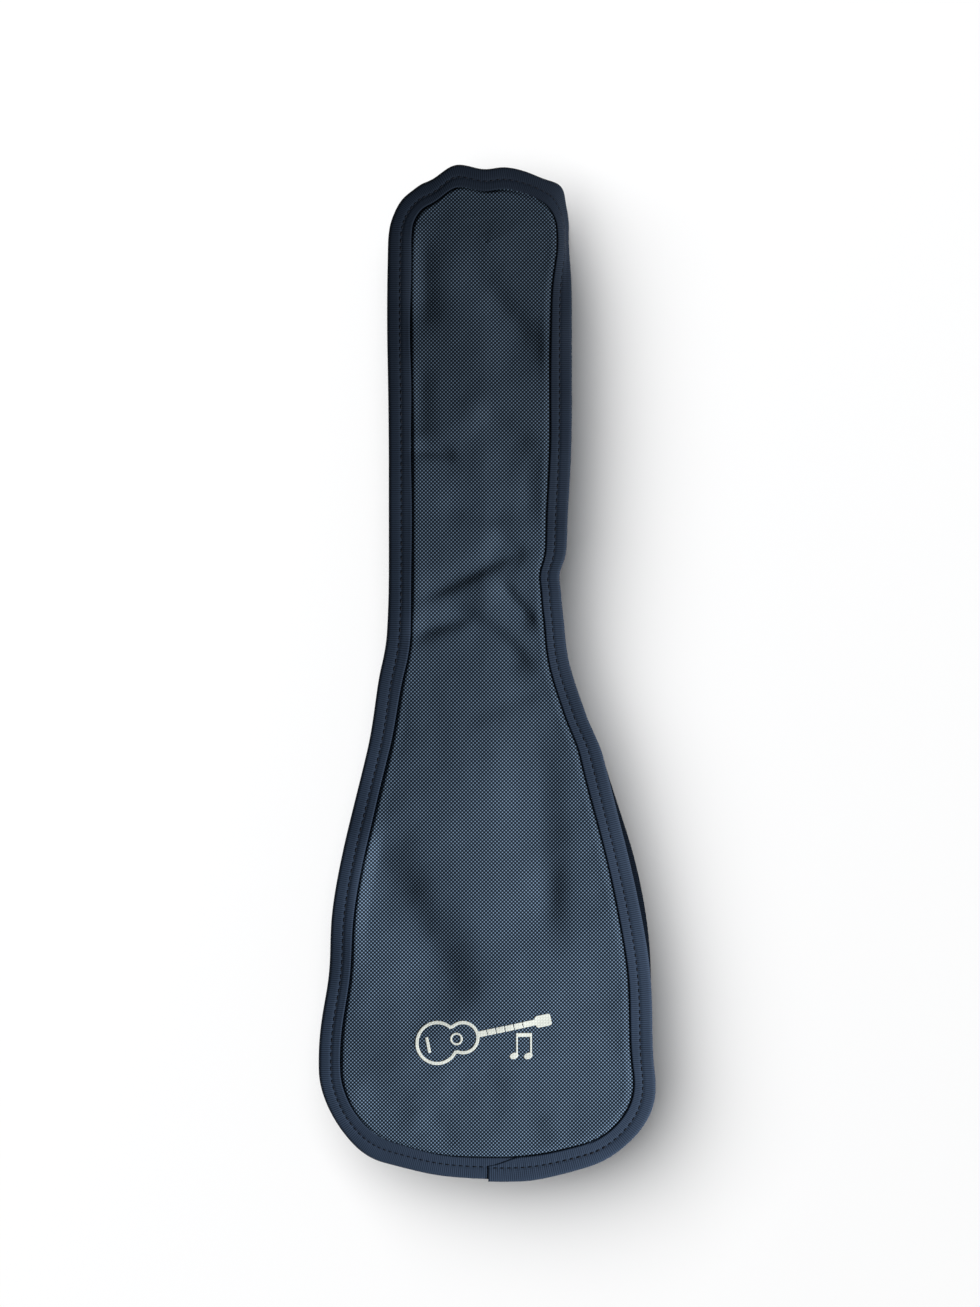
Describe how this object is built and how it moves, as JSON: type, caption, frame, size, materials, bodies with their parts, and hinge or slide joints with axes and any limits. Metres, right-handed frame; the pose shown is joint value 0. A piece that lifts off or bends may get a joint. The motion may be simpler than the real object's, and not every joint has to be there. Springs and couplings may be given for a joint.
{
  "type": "ukulele gig bag",
  "caption": "Soft ukulele-shaped gig bag with bound seams, padded panels and a zipped front flap that folds open on a diagonal line.",
  "frame": {"origin": "on the surface the bag lies on, under the middle of its outline", "axes": "+Z out of the front panel, +Y towards the head end, +X towards the zip side"},
  "size_m": [0.1906, 0.58, 0.0522],
  "materials": {
    "panel_cloth": "plain-woven coated polyester, satin",
    "binding_tape": "ribbed grosgrain tape, matt",
    "foam": "closed padding sheet, matt",
    "lining": "thin smooth nylon, satin",
    "thread": "twisted polyester sewing thread",
    "webbing": "flat woven strap, matt",
    "zip_tape": "fine woven zip tape, matt",
    "zip_coil": "nylon monofilament coil, satin",
    "zip_metal": "black enamelled die casting",
    "print": "cream screen print, matt"
  },
  "bodies": {
    "bag": {"back_binding": "binding_tape", "back_panel_foam": "foam", "back_panel_lining": "lining", "back_panel_outer": "panel_cloth", "back_stitching": "thread", "front_binding_fixed": "binding_tape", "front_panel_foam_fixed": "foam", "front_panel_lining_fixed": "lining", "front_panel_outer_fixed": "panel_cloth", "front_stitching_fixed": "thread", "handle_strap": "webbing", "lower_gusset_lining": "lining", "lower_gusset_outer": "panel_cloth", "spine_gusset_lining": "lining", "spine_gusset_outer": "panel_cloth", "upper_gusset_fixed": "panel_cloth", "zip_bottom_stop": "zip_metal", "zip_coil_fixed": "zip_coil", "zip_coil_lower": "zip_coil", "zip_end_tabs": "panel_cloth", "zip_tape_fixed": "zip_tape", "zip_tape_lower": "zip_tape", "zip_top_stops": "zip_metal"},
    "flap": {"front_binding_flap": "binding_tape", "front_panel_foam_flap": "foam", "front_panel_lining_flap": "lining", "front_panel_outer_flap": "panel_cloth", "front_stitching_flap": "thread", "printed_emblem": "print", "upper_gusset_flap": "panel_cloth", "zip_coil_flap": "zip_coil", "zip_tape_flap": "zip_tape"},
    "slider": {"slider_body": "zip_metal"},
    "pull": {"pull_tab": "zip_metal"}
  },
  "joints": [
    {"name": "flap_fold", "type": "hinge", "parent": "bag", "child": "flap", "pos_m": [-0.08255, -0.22703, 0.052], "axis": [-0.2715, -0.9625, 0], "range_deg": [0, 170]},
    {"name": "slider_run", "type": "slide", "parent": "bag", "child": "slider", "axis": [0, -1, 0], "range_m": [0, 0.205]},
    {"name": "pull_swing", "type": "hinge", "parent": "slider", "child": "pull", "pos_m": [0.04345, 0.243, 0.033], "axis": [0, 0, 1], "range_deg": [0, 165]}
  ]
}
